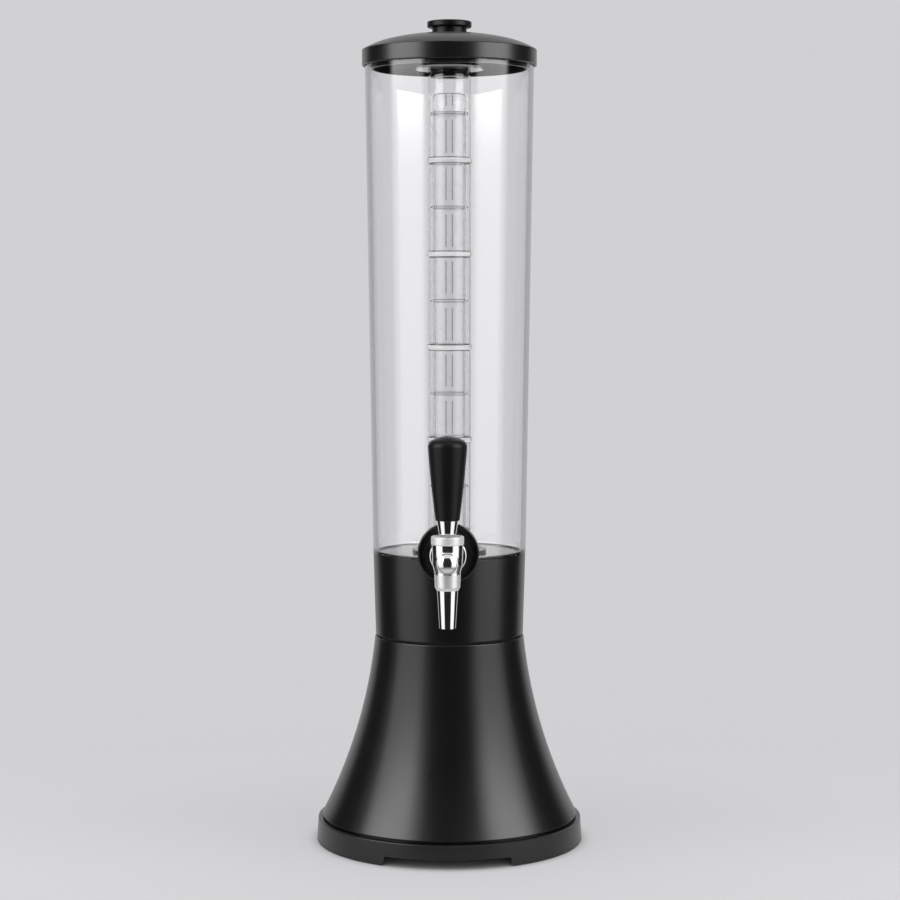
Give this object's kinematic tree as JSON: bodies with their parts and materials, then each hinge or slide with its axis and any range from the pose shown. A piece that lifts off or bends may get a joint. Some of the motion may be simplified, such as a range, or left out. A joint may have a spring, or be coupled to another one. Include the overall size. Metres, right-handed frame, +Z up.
{
  "type": "beer tower dispenser",
  "caption": "Tabletop beer tower: flared black base, clear tapered container, an ice tube hung from the domed lid, and a chrome tap with a black lever handle.",
  "frame": {"origin": "table level, at the middle of the bounding box's bottom face; the tower's axis stands 14.9 mm behind it", "axes": "+Z up along the tower, the tap faces -Y, +X is to the right of someone who faces the tap"},
  "size_m": [0.2288, 0.2586, 0.7],
  "materials": {
    "black_plastic": "satin black moulded plastic",
    "glossy_black_plastic": "glossy black moulded plastic",
    "clear_plastic": "clear polished plastic",
    "chrome_plate": "bright chrome plate",
    "satin_metal": "satin plated metal",
    "steel": "turned stainless steel",
    "white_plastic": "plain bearing plastic",
    "rubber": "soft black rubber",
    "gel": "cloudy cooling gel"
  },
  "bodies": {
    "tower": {"foot_ring": "black_plastic", "rubber_foot_1": "rubber", "rubber_foot_2": "rubber", "rubber_foot_3": "rubber", "rubber_foot_4": "rubber", "rubber_foot_5": "rubber", "rubber_foot_6": "rubber", "base_shell": "black_plastic", "base_screws": "steel", "deck_gasket": "rubber", "collar": "black_plastic", "tower_washer": "black_plastic", "tower_nut": "black_plastic", "container": "clear_plastic", "container_ring": "rubber", "tube_seat": "black_plastic", "tap_gasket": "rubber", "tap_escutcheon": "black_plastic", "tap_shank": "steel", "shank_washer": "rubber", "shank_nut": "steel", "coupling_washer": "rubber", "tap_coupling_nut": "chrome_plate", "tap_body": "chrome_plate", "tap_spout": "chrome_plate", "lever_bearing": "white_plastic", "tap_bonnet": "satin_metal"},
    "lever": {"tap_lever": "steel", "tap_ferrule": "chrome_plate", "tap_handle": "glossy_black_plastic"},
    "plunger": {"valve_plunger": "steel", "valve_seal": "rubber", "plunger_nut": "steel"},
    "lid": {"lid": "black_plastic", "lid_seal": "rubber", "lid_knob": "glossy_black_plastic", "knob_screw": "steel", "tube_ring": "rubber"},
    "ice_tube": {"ice_tube": "clear_plastic", "cold_pack": "clear_plastic", "cold_pack_plug": "black_plastic", "cooling_gel": "gel"}
  },
  "joints": [
    {"name": "lid_lift", "type": "slide", "parent": "tower", "child": "lid", "axis": [0, 0, 1], "range_m": [0, 0.44]},
    {"name": "ice_tube_twist", "type": "hinge", "parent": "lid", "child": "ice_tube", "pos_m": [0, 0.0149, 0.66], "axis": [0, 0, -1], "range_deg": [0, 90]},
    {"name": "tap_lever_swing", "type": "hinge", "parent": "tower", "child": "lever", "pos_m": [0, -0.10509, 0.266], "axis": [1, 0, 0], "range_deg": [0, 20]},
    {"name": "valve_slide", "type": "slide", "parent": "tower", "child": "plunger", "axis": [0, 1, 0], "range_m": [0, 0.0036]}
  ],
  "couplings": [
    {"joint": "valve_slide", "follows": "tap_lever_swing", "m_per_rad": 0.010288}
  ]
}
